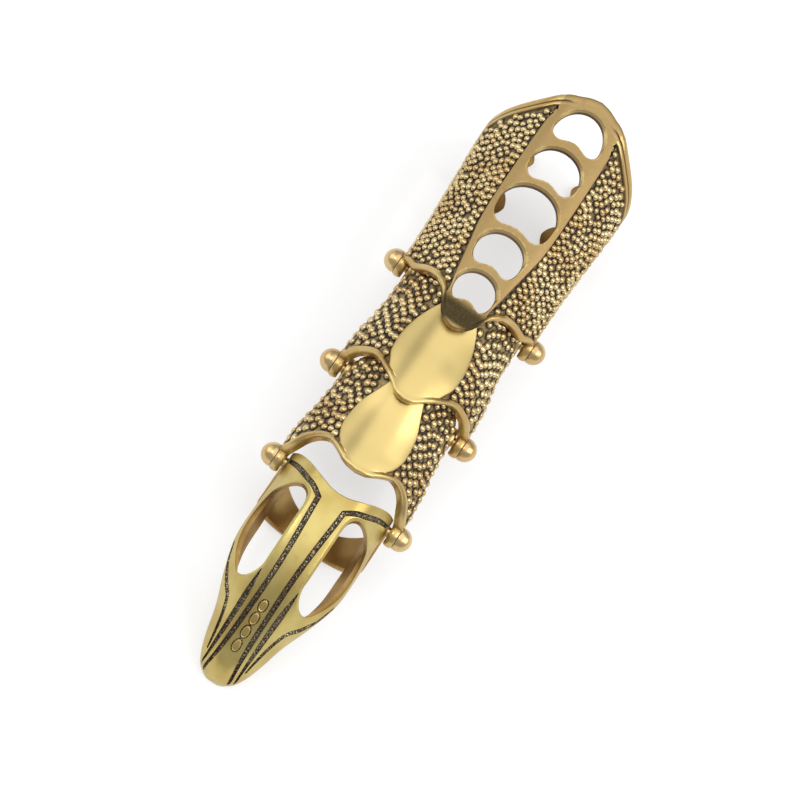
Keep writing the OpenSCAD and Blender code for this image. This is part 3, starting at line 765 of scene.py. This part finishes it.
def rounded_section(half_width, half_wall, corner):
    """Points round a flat bar's section, with rounded corners: [across the bar, through its wall]."""
    corner = min(corner, half_width * 0.6, half_wall * 0.9)
    points = []
    for cx, cz, first in ((1, 1, 0), (-1, 1, 90), (-1, -1, 180), (1, -1, 270)):
        for a in np.radians([first, first + 30, first + 60, first + 90]):
            points.append([
                cx * (half_width - corner) + corner * math.cos(a),
                cz * (half_wall - corner) + corner * math.sin(a),
            ])
    return points


def bent_bar(name, stations, inner_r, outer_r, centre_z, finish, corner=0.28):
    """A flat bar bent round the finger. Stations are rows of [angle from below, y low, y high]."""
    points = []
    middle_r = (inner_r + outer_r) / 2
    for angle, low, high in stations:
        for across, through in rounded_section((high - low) / 2, (outer_r - inner_r) / 2, corner):
            r = middle_r + through
            points.append([r * math.sin(angle), (low + high) / 2 + across, centre_z - r * math.cos(angle)])
    return new_piece(name, points, ring_faces(len(stations), len(points) // len(stations)), [finish])


def arm_stations(side, end_x, end_y, end_r, low_of, high_of, middle_r):
    """An arm's stations from its round free end up to where it runs into the plate's flank."""
    rows = []
    for turn in np.radians([4, 12, 22, 34, 48, 64, 80, 90]):
        x = end_x - end_r * math.cos(turn)
        half = end_r * math.sin(turn)
        rows.append([side * math.asin(x / middle_r), end_y - half, end_y + half])
    start = math.asin(end_x / middle_r)
    for angle in np.linspace(start, math.radians(103), 26)[1:]:
        x = middle_r * math.sin(angle) if angle < math.pi / 2 else middle_r
        rows.append([side * angle, low_of(x), high_of(x)])
    return rows


# the rear pair stands clear of the finger, so that the front pair alone sets the fit
rear_clear = 0.35
# name, width, place behind the first hinge, inner radius, corner, lean of the tip edge and of the root edge
arm_table = [
    ["front", 4.6, 18.6, finger_r, 0.4, 0, 0],
    ["rear", 2.9, 26.6, finger_r + rear_clear, 0.22, -0.84, -0.82],
]
arms = []
for side, word in both_sides:
    for name, width, place, inner_r, corner, low_lean, high_lean in arm_table:
        y = root_pin[1] + place
        end_x = arm_gap + width / 2
        rows = arm_stations(
            side, end_x, y, width / 2,
            lambda x: y - width / 2 + low_lean * (x - end_x),
            lambda x: y + width / 2 + high_lean * (x - end_x),
            (inner_r + arm_r) / 2,
        )
        arms.append(bent_bar(f"{name}_arm_{word}", rows, inner_r, arm_r, ring_z, inside_gold, corner))
join_on(base, [base_beads, *base_ears, *arms])
soften(base)
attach(base, "base")
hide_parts("base_plate")


# The two saddle plates. Castings of the same kind, each with a smooth shield on its back, a dipped rear edge
# that slides inside the segment behind it, and a wavy front rim that carries the next pair of rivets.

first_pitch = float(root_pin[1] - middle_pin[1])
second_pitch = float(middle_pin[1] - tip_pin[1])
step_in = shell_wall + 0.25


def nested(row, y):
    """The section of a shell that nests inside another one at a hinge."""
    top, crest, side, brow, foot = row[1:]
    tilt = math.atan2(crest - brow, side - top)
    return [
        y, top - step_in * math.tan(tilt / 2), crest - step_in,
        side - step_in, brow - step_in * math.tan((math.pi / 2 - tilt) / 2), foot + 0.1,
    ]


second_front = [0, 4.3, base_crest - 0.65, base_side - 0.45, 11.2, 6.8]
second_rows = [
    [-first_pitch - 3.2, 4.3, second_front[2] + 0.05, second_front[3], 11.2, 6.8],
    [-first_pitch, 4.3, second_front[2], second_front[3], 11.2, 6.8],
    [-first_pitch + 2.6, 4.4, second_front[2] - 0.15, base_side - 0.2, 11.3, 6.8],
    [-first_pitch + 5.5, 4.4, second_front[2] - 0.4, base_side - 0.4, 11.2, 6.9],
    [-first_pitch + 9.5, 4.2, second_front[2] - 0.6, base_side - 1.05, 11, 7],
    nested(base_rows[1], -2),
    nested(base_rows[1], 0),
]
second_shield = [
    [-19.5, 2.8], [-17, 3.1], [-15.4, 3.65], [-13.8, 4.2], [-11.1, 4.35], [-8.3, 3.85], [-6.2, 3.05],
    [-4.7, 2.3], [-2.5, 1.8], [0, 1.6],
]
second_front_edge = [
    [0, -3.1], [0.33, -2.75], [0.59, -1.8], [0.85, -0.7], [1.04, 0.3], [1.3, 1.1], [1.7, 1.15],
    [1.87, 0.85], [2, 0.5], [2.4, 0.1], [3, 0.5],
]
second_rear_edge = [
    [0, -3.9], [0.5, -3.8], [0.75, -2.7], [1, -0.8], [1.3, 0.9], [1.6, 1.9], [1.9, 1.6], [2.1, 0.6], [2.4, 0],
    [3, -0.5],
]
third_front = [0, 4.1, base_crest - 1.9, base_side - 1, 10.6, 6.3]
third_rows = [
    [-second_pitch - 1, 4.1, third_front[2], third_front[3], 10.6, 6.3],
    [-second_pitch, 4.1, third_front[2], third_front[3], 10.6, 6.3],
    [-second_pitch + 2.6, 4.2, third_front[2] - 0.1, base_side - 0.65, 10.7, 6.3],
    [-second_pitch + 5.5, 4.2, third_front[2] - 0.3, base_side - 0.85, 10.6, 6.4],
    [-second_pitch + 9, 4, third_front[2] - 0.35, base_side - 1.35, 10.5, 6.5],
    nested(second_front, -2),
    nested(second_front, 0),
]
third_shield = [
    [-16, 2.6], [-12.2, 2.9], [-10.8, 3.6], [-9.4, 4.05], [-8.1, 4.2], [-5.4, 3.85], [-2.65, 2.75], [0, 1.8],
]
third_front_edge = [
    [0, 0.8], [0.42, 1.2], [0.76, 2.3], [1, 3], [1.3, 3], [1.6, 2.3], [1.8, 1.3],
    [2, 0.7], [2.4, 0.1], [3, 0.5],
]
third_rear_edge = [
    [0, -0.3], [0.5, 0.4], [1, 2.1], [1.4, 2.9], [1.7, 2.4], [1.9, 1.6], [2.1, 0.6], [2.4, 0], [3, -0.5],
]


def saddle_form(rows, shield, front, rear, rear_pin, steps, pitch):
    return {
        "rows": rows, "middle": shield, "front": front, "rear": rear, "pin_z": rear_pin[2],
        "steps": steps, "start": -pitch, "rear_place": 0, "rear_rim": 0,
        "soft": [0.9, 0.35], "polish": 1.0, "satin": 0.0, "dull_from": None,
    }


second_form = saddle_form(
    second_rows, second_shield, second_front_edge, second_rear_edge, root_pin, 110, first_pitch
)
third_form = saddle_form(
    third_rows, third_shield, third_front_edge, third_rear_edge, middle_pin, 96, second_pitch
)
plate_bead_pitch = 1.4
plate_bead_r = 0.52
plate_bead_rise = 0.48
inner_ear = [base_side - step_in, second_front[3] - step_in, third_front[3] - step_in]
saddle_plates = [
    ["second", second_form, root_pin, middle_pin, inner_ear[0], second_front[3]],
    ["third", third_form, middle_pin, tip_pin, inner_ear[1], third_front[3]],
]
for number, (word, form, rear_pin, front_pin, rear_ear, side) in enumerate(saddle_plates):
    plate = arched_shell(f"{word}_casting", form, rear_pin, [beaded_gold, inside_gold])
    places = bead_places(form, rear_pin, plate_bead_pitch, 21 + number)
    darken_round_beads(plate, places, plate_bead_r + 0.02, 0.55)
    beads = bead_piece(f"{word}_beads", places, plate_bead_r, plate_bead_rise, bead_gold, 31 + number)
    rear_pair = ears(f"{word}_inner_ear", rear_ear - ear_wall, rear_ear, rear_pin, beaded_gold)
    front_pair = ears(f"{word}_outer_ear", side - ear_wall, side + rim_rise, front_pin, beaded_gold)
    join_on(plate, [beads, *rear_pair, *front_pair])
    soften(plate)
    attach(plate, word)
    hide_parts(f"{word}_plate")


# The claw over the fingertip. A greener, satin casting that narrows to a blunt nose, pierced on each side of
# a middle bar, with dark engraved lines along the bar and its flanks, and a closed band under the finger.

# y, half width of the top, height of the top, half width, brow, foot, how far the foot tucks in
claw_rows = [
    [-27.1, 0.5, 2.6, 0.9, 1.3, 0.3, 0.1],
    [-26.7, 0.9, 3.5, 1.75, 1.7, 0.1, 0.2],
    [-25.6, 1.5, 5.1, 3, 2.6, 0, 0.3],
    [-23.3, 2.1, 7.5, 4.1, 4.2, 0.5, 0.6],
    [-19.7, 2.6, 10.7, 5.2, 6.2, 2, 0.9],
    [-16, 3.1, 13.2, 6.75, 7.8, 3.4, 1.2],
    [-12, 3.7, 15, 7.95, 8.9, 4.6, 1.4],
    [-8, 4.1, 16.1, 8.1, 9.7, 5.4, 1.4],
    [-3, 4.2, 16.6, 7.85, 10.3, 6, 1],
    [3, 4.2, 16.6, 7.85, 10.6, 6.2, 0.6],
]
claw_turns = np.concatenate([np.linspace(0, 2.5, 36), [2.6, 2.7, 2.8, 2.9, 3]])
satin_gold = cast_finish(
    "satin_gold", colour(197, 179, 112), colour(182, 158, 92), colour(50, 36, 22),
    rough=0.33, crevice_shade_and_patina=0.3, pits=0.025,
)
groove_dark = cast_finish(
    "groove_dark", colour(226, 206, 160), colour(170, 140, 96), colour(22, 15, 10),
    rough=0.35, held=0.95, specks=0.9, pits=0.05
)
window_gold = cast_finish(
    "window_gold", colour(182, 150, 92), colour(150, 116, 64), colour(70, 48, 26), rough=0.38, crevice_shade_and_patina=0.25
)


def claw_sections(stations, sink, drop):
    """Closed sections of the claw: over the top from foot to foot, then straight across below."""
    rings = []
    for y in stations:
        x, z = arch(claw_rows, y + 0 * claw_turns, claw_turns, sink + 0 * claw_turns, [0.5, 0.5])
        x = x - read(claw_rows, y, 6) * np.maximum(claw_turns - 2, 0) ** 2
        z = z - np.where(claw_turns == 3, drop, 0)
        right = np.column_stack([x, np.full(len(x), y), z])
        left = right[:0:-1] * [-1, 1, 1]
        rings.append(np.concatenate([left, right]))
    return rings


def lofted(name, rings, finish):
    """A closed solid through sections of the same number of points."""
    faces = ring_faces(len(rings), len(rings[0]), flip=True)
    return new_piece(name, np.concatenate(rings), faces, [finish])


def claw_top(x, y):
    """Height of the claw's outer face above a place seen from above, measured from the third hinge."""
    turns = np.linspace(0, 2.6, 105)
    across, height = arch(claw_rows, y + 0 * turns, turns, 0 * turns, [0.5, 0.5])
    across = across - read(claw_rows, y, 6) * np.maximum(turns - 2, 0) ** 2
    widest = int(np.argmax(across))
    return float(np.interp(abs(x), across[: widest + 1], height[: widest + 1]))


def move_to(piece, pin):
    """Puts a piece that was drawn from a hinge's own place where that hinge is."""
    piece.data.transform(Matrix.Translation((0, pin[1] * MM, 0)))
    return piece


nose_stations = [-27.1, -27, -26.85, -26.7, -26.4, -26.1, -25.85]
outer_stations = np.concatenate([nose_stations, np.arange(-25.6, 3.1, 0.36)])
hollow_stations = np.concatenate([[-24.6, -24.2], np.arange(-23.8, 4, 0.7)])
claw = lofted("claw_casting", claw_sections(outer_stations, 0, 0), satin_gold)
hollow = lofted("claw_hollow", claw_sections(hollow_stations, 1.0, 8), window_gold)

window_plan = np.array([
    [4.65, -16.5], [5.4, -16], [6.1, -14.9], [6.9, -13.2], [7.45, -11], [7.5, -8], [7.05, -5.4], [6.1, -4.2],
    [5.1, -3.7], [4.1, -3.8], [3.25, -4.6], [2.95, -5.8], [2.95, -8], [2.95, -10.5], [2.95, -13],
    [2.95, -14.7], [3.4, -15.8], [4, -16.4],
])
claw_rear = [[-2.5, 0], [-2.3, 1.5], [-1.5, 3.5], [-0.4, 5.2], [0.5, 6.5], [0.95, 7.4], [1, 9]]


def smooth_loop(points, parts=5):
    """A closed outline drawn more finely, on a smooth curve through its points."""
    made = []
    count = len(points)
    for k in range(count):
        a, b, c, d = (points[(k + i) % count] for i in (-1, 0, 1, 2))
        for t in np.arange(parts) / parts:
            bow = (2 * a - 5 * b + 4 * c - d) * t**2
            lean = (3 * b - a - 3 * c + d) * t**3
            made.append(0.5 * (2 * b + (c - a) * t + bow + lean))
    return np.array(made)


windows = []
for side in (-1, 1):
    outline = smooth_loop(window_plan) * [side, 1]
    worn = np.full(len(outline), 0.24)
    finishes = [window_gold, satin_gold]
    windows.append(outline_cutter(f"window_{side + 1}", outline, claw_top, 8.4, worn, finishes))
rear_half = 8.8
rear_x = np.linspace(-rear_half, rear_half, 67)
rear_edge = [[x, float(read([[row[1], row[0]] for row in claw_rear], abs(x)))] for x in rear_x]
rear_outline = rear_edge + [[rear_half, 8], [-rear_half, 8]]
rear_cutter = outline_cutter(
    "behind_claw", rear_outline, lambda x, y: claw_top(x, min(y, 2.5)), -1,
    np.full(len(rear_outline), 0.18), [satin_gold, satin_gold]
)
cut_away(claw, [hollow, *windows, rear_cutter])

# engraved lines as rows of [y, x, half width]
bar_groove = [
    [-27, 1.95, 0.2], [-24.7, 1.6, 0.3], [-22.4, 1.42, 0.35], [-19.2, 1.34, 0.37], [-15, 1.3, 0.37],
    [-11, 1.45, 0.37], [-6, 1.8, 0.37], [-4.3, 1.9, 0.36],
]
side_groove = [
    [-24.9, 2.9, 0.14], [-23.3, 3.2, 0.28], [-21.2, 3.7, 0.36], [-19.1, 4.45, 0.42], [-17.4, 5.6, 0.46],
    [-15.2, 6.75, 0.38], [-12.5, 7.6, 0.2],
]
short_groove = [
    [-26.4, 2.5, 0.14], [-24.3, 2.5, 0.3], [-21.5, 2.55, 0.42], [-18.4, 2.65, 0.44], [-15.3, 2.8, 0.06],
]
rim_groove = [[-4.5, 1.75, 0.36], [-3.4, 3.3, 0.38], [-2.65, 4.6, 0.38], [-1.3, 6.3, 0.36], [-0.4, 7.5, 0.3]]


def on_claw(x, y):
    """A point of the claw's outer face and its outward direction."""
    e = 0.05
    z = claw_top(x, y)
    slope_x = (claw_top(x + e, y) - claw_top(x - e, y)) / (2 * e)
    slope_y = (claw_top(x, y + e) - claw_top(x, y - e)) / (2 * e)
    out = np.array([-slope_x, -slope_y, 1.0])
    return np.array([x, y, z]), out / np.linalg.norm(out)


def groove_cutter(name, path, depth, finish, closed=False):
    """A round-bottomed burin that follows a path of [x, y, half width] on the claw's face."""
    path = np.array(path, float)
    count = len(path)
    bottom = np.radians(np.linspace(0, 180, 9))
    rings = []
    for k in range(count):
        ahead = path[(k + 1) % count] if closed or k < count - 1 else path[k]
        behind = path[k - 1] if closed or k > 0 else path[k]
        here, out = on_claw(path[k][0], path[k][1])
        along = on_claw(ahead[0], ahead[1])[0] - on_claw(behind[0], behind[1])[0]
        across = np.cross(along / np.linalg.norm(along), out)
        across /= np.linalg.norm(across)
        w = path[k][2]
        deep = depth * min(1.0, 0.35 + w / 0.4)
        ring = [here + across * w * math.cos(a) - out * deep * math.sin(a) for a in bottom]
        ring += [here - across * w * 1.15 + out * 0.4, here + across * w * 1.15 + out * 0.4]
        rings.append(np.array(ring))
    faces = ring_faces(count, len(rings[0]), closed, flip=True)
    return new_piece(name, np.concatenate(rings), faces, [finish])


def drawn(line, side, parts):
    """A groove's path, drawn finely between its rows."""
    line = np.array(line)
    y = np.linspace(line[0, 0], line[-1, 0], parts)
    return np.column_stack([side * read(line, y, 1), y, read(line, y, 2)])


# name, line, steps along it, depth
groove_table = [
    ["bar", bar_groove, 48, 0.42],
    ["side", side_groove, 40, 0.4],
    ["short", short_groove, 30, 0.4],
    ["rim", rim_groove, 24, 0.4],
]
for side, word in both_sides:
    cut_away(claw, [
        groove_cutter(f"{name}_groove_{word}", drawn(line, side, parts), depth, groove_dark)
        for name, line, parts, depth in groove_table
    ])

# four small raised ringlets in a row on the middle bar
ringlet_y = [-18.7, -20.3, -21.9, -23.5]
ringlet_steps = 28
wire_steps = 8
wire_r = 0.11
wire_rise = 0.14
ringlets = []
for number, y in enumerate(ringlet_y):
    turns = np.linspace(0, 2 * math.pi, ringlet_steps, endpoint=False)
    outline = [[0.54 * math.cos(a), y + 0.74 * math.sin(a), 0.09] for a in turns]
    cut_away(claw, [groove_cutter(f"ringlet_line_{number}", outline, 0.14, groove_dark, closed=True)])
    points = []
    for a in turns:
        here, out = on_claw(0.38 * math.cos(a), y + 0.58 * math.sin(a))
        outward = np.array([math.cos(a), 0.8 * math.sin(a), 0])
        outward -= out * outward.dot(out)
        outward /= np.linalg.norm(outward)
        for b in np.linspace(0, 2 * math.pi, wire_steps, endpoint=False):
            points.append(here + outward * wire_r * math.cos(b) + out * (0.02 + wire_rise * math.sin(b)))
    faces = ring_faces(ringlet_steps, wire_steps, closed=True, flip=True)
    ringlets.append(new_piece(f"ringlet_{number}", points, faces, [satin_gold]))

# the band under the finger, a little smaller than the solid's, so that it swings clear of the third plate
band_r = 8.0
band_wall = 1.0
claw_ear_play = 0.1
band_rows = []
for angle in np.radians(np.linspace(-93, 93, 75)):
    x = (band_r - band_wall / 2) * math.sin(angle)
    band_rows.append([angle, -5.6 - 0.6 * (x / 6) ** 2, -2.1 + 1.3 * (x / 6) ** 2])
band = bent_bar("claw_band", band_rows, band_r - band_wall, band_r, band_r, window_gold, 0.35)
for piece in [claw, band, *ringlets]:
    move_to(piece, tip_pin)
claw_ears = ears("claw_ear", inner_ear[2] - ear_wall, inner_ear[2] - claw_ear_play, tip_pin, satin_gold)
join_on(claw, [band, *ringlets, *claw_ears])
soften(claw)
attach(claw, "claw")
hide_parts("fingertip_claw")


# Six ball-headed rivets. Each ball is cast on its shank and polished; the shank passes through the outer and
# the inner ear and is spread to a flat head inside, so that the segments swing on it.

ball_gold = cast_finish(
    "ball_gold", colour(216, 190, 138), colour(200, 168, 116), colour(96, 68, 42),
    rough=0.24, crevice_shade_and_patina=0.3, pits=0.02,
)
head_r = 1.25
head_wall = 0.45
outer_ear = [base_side + rim_rise, second_front[3] + rim_rise, third_front[3] + rim_rise]
rivet_sets = [
    ["root", root_pin, outer_ear[0], inner_ear[0], "base"],
    ["middle", middle_pin, outer_ear[1], inner_ear[1], "second"],
    ["tip", tip_pin, outer_ear[2], inner_ear[2], "third"],
]
for word, pin, outer, inner, body in rivet_sets:
    seat = outer + 0.03
    inside = inner - ear_wall - 0.06
    ball = [
        [seat + 0.3 + ball_r * math.sin(a), ball_r * math.cos(a)]
        for a in np.radians([-10.8, -6, 0, 8, 17, 26, 35, 44, 53, 62, 71, 79, 86, 89.5])
    ]
    shank = [
        [inside - head_wall, 0.02], [inside - head_wall, head_r - 0.12],
        [inside - head_wall + 0.05, head_r - 0.03], [inside - head_wall + 0.15, head_r],
        [inside, head_r], [inside, shank_r], [seat, shank_r],
    ]
    for side, hand in both_sides:
        rivet = turned_piece(f"{word}_ball_{hand}", shank + ball, pin, side, ball_gold)
        soften(rivet)
        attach(rivet, body)
        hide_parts(f"{word}_rivet_{hand}")


# The stage: a plain pale table under broad soft lamps, with the camera high on the fingertip's side and
# turned, so that the ring lies on the slant as in the picture.

floor_mesh = bpy.data.meshes.new("table_top")
floor_mesh.from_pydata([(-1.5, -1.5, 0), (1.5, -1.5, 0), (1.5, 1.5, 0), (-1.5, 1.5, 0)], [], [(0, 1, 2, 3)])
table_top = bpy.data.objects.new("table_top", floor_mesh)
bpy.context.scene.collection.objects.link(table_top)
table_top.location.z = -0.00002
table_paint = bpy.data.materials.new("table_paint")
table_paint.use_nodes = True
table_paint.node_tree.nodes.clear()
paint = Signal(table_paint.node_tree)
paint.node("ShaderNodeOutputMaterial", None, {
    "Surface": paint.node("ShaderNodeBsdfPrincipled", None, {
        "Base Color": (0.44, 0.44, 0.43, 1), "Roughness": 0.85, "Emission Color": (1, 1, 1, 1),
        "Emission Strength": 0.56,
    }),
})
floor_mesh.materials.append(table_paint)

world = bpy.data.worlds.new("studio")
bpy.context.scene.world = world
world.use_nodes = True
room = world.node_tree.nodes["Background"].inputs
room["Color"].default_value = (0.9, 0.93, 1.0, 1)
room["Strength"].default_value = 0.55


def lamp(name, place, aim, size, glow, tone=(1, 1, 1)):
    """A soft box whose face shines as brightly as a white surface of that brightness."""
    light = bpy.data.lights.new(name, "AREA")
    light.shape = "RECTANGLE"
    light.size, light.size_y = size
    light.energy = glow * math.pi * size[0] * size[1]
    light.color = tone
    box = bpy.data.objects.new(name, light)
    bpy.context.scene.collection.objects.link(box)
    box.location = place
    box.rotation_euler = (Vector(aim) - Vector(place)).to_track_quat("-Z", "Y").to_euler()
    return box


lamp("key_box", (0.62, 0.1, 0.5), (0, 0, 0.01), (0.5, 0.6), 2.5)
lamp("fill_box", (-0.6, 0, 0.45), (0, 0, 0.01), (0.45, 0.6), 1.7)
lamp("left_box", (-0.55, 0.34, 0.32), (0, 0.01, 0.01), (0.35, 0.35), 0.6)
lamp("top_box", (0.1, 0.15, 0.9), (0, 0, 0), (1.1, 1.1), 1.02)
lamp("spark_left", (-0.28, -0.1, 0.72), (0, 0, 0.01), (0.09, 0.09), 20)
lamp("spark_right", (0.42, -0.12, 0.6), (0, 0, 0.01), (0.09, 0.09), 20)

view_up = math.radians(68)
view_roll = math.radians(34)
toward = Vector((0, -math.cos(view_up), math.sin(view_up)))
upright = Vector((0, math.sin(view_up), math.cos(view_up)))
right = Vector((1, 0, 0)) * math.cos(view_roll) + upright * math.sin(view_roll)
above = upright * math.cos(view_roll) - Vector((1, 0, 0)) * math.sin(view_roll)
lens = bpy.data.cameras.new("camera")
lens.lens = 200
lens.sensor_width = 36
camera = bpy.data.objects.new("camera", lens)
bpy.context.scene.collection.objects.link(camera)
bpy.context.scene.camera = camera
aim = Vector((-0.0002, -0.00175, 0.009))
picture_width = 0.1025
spot = aim + toward * (picture_width * lens.lens / lens.sensor_width)
camera.matrix_world = Matrix.Translation(spot) @ Matrix((right, above, toward)).transposed().to_4x4()
bpy.context.scene.view_settings.view_transform = "Standard"
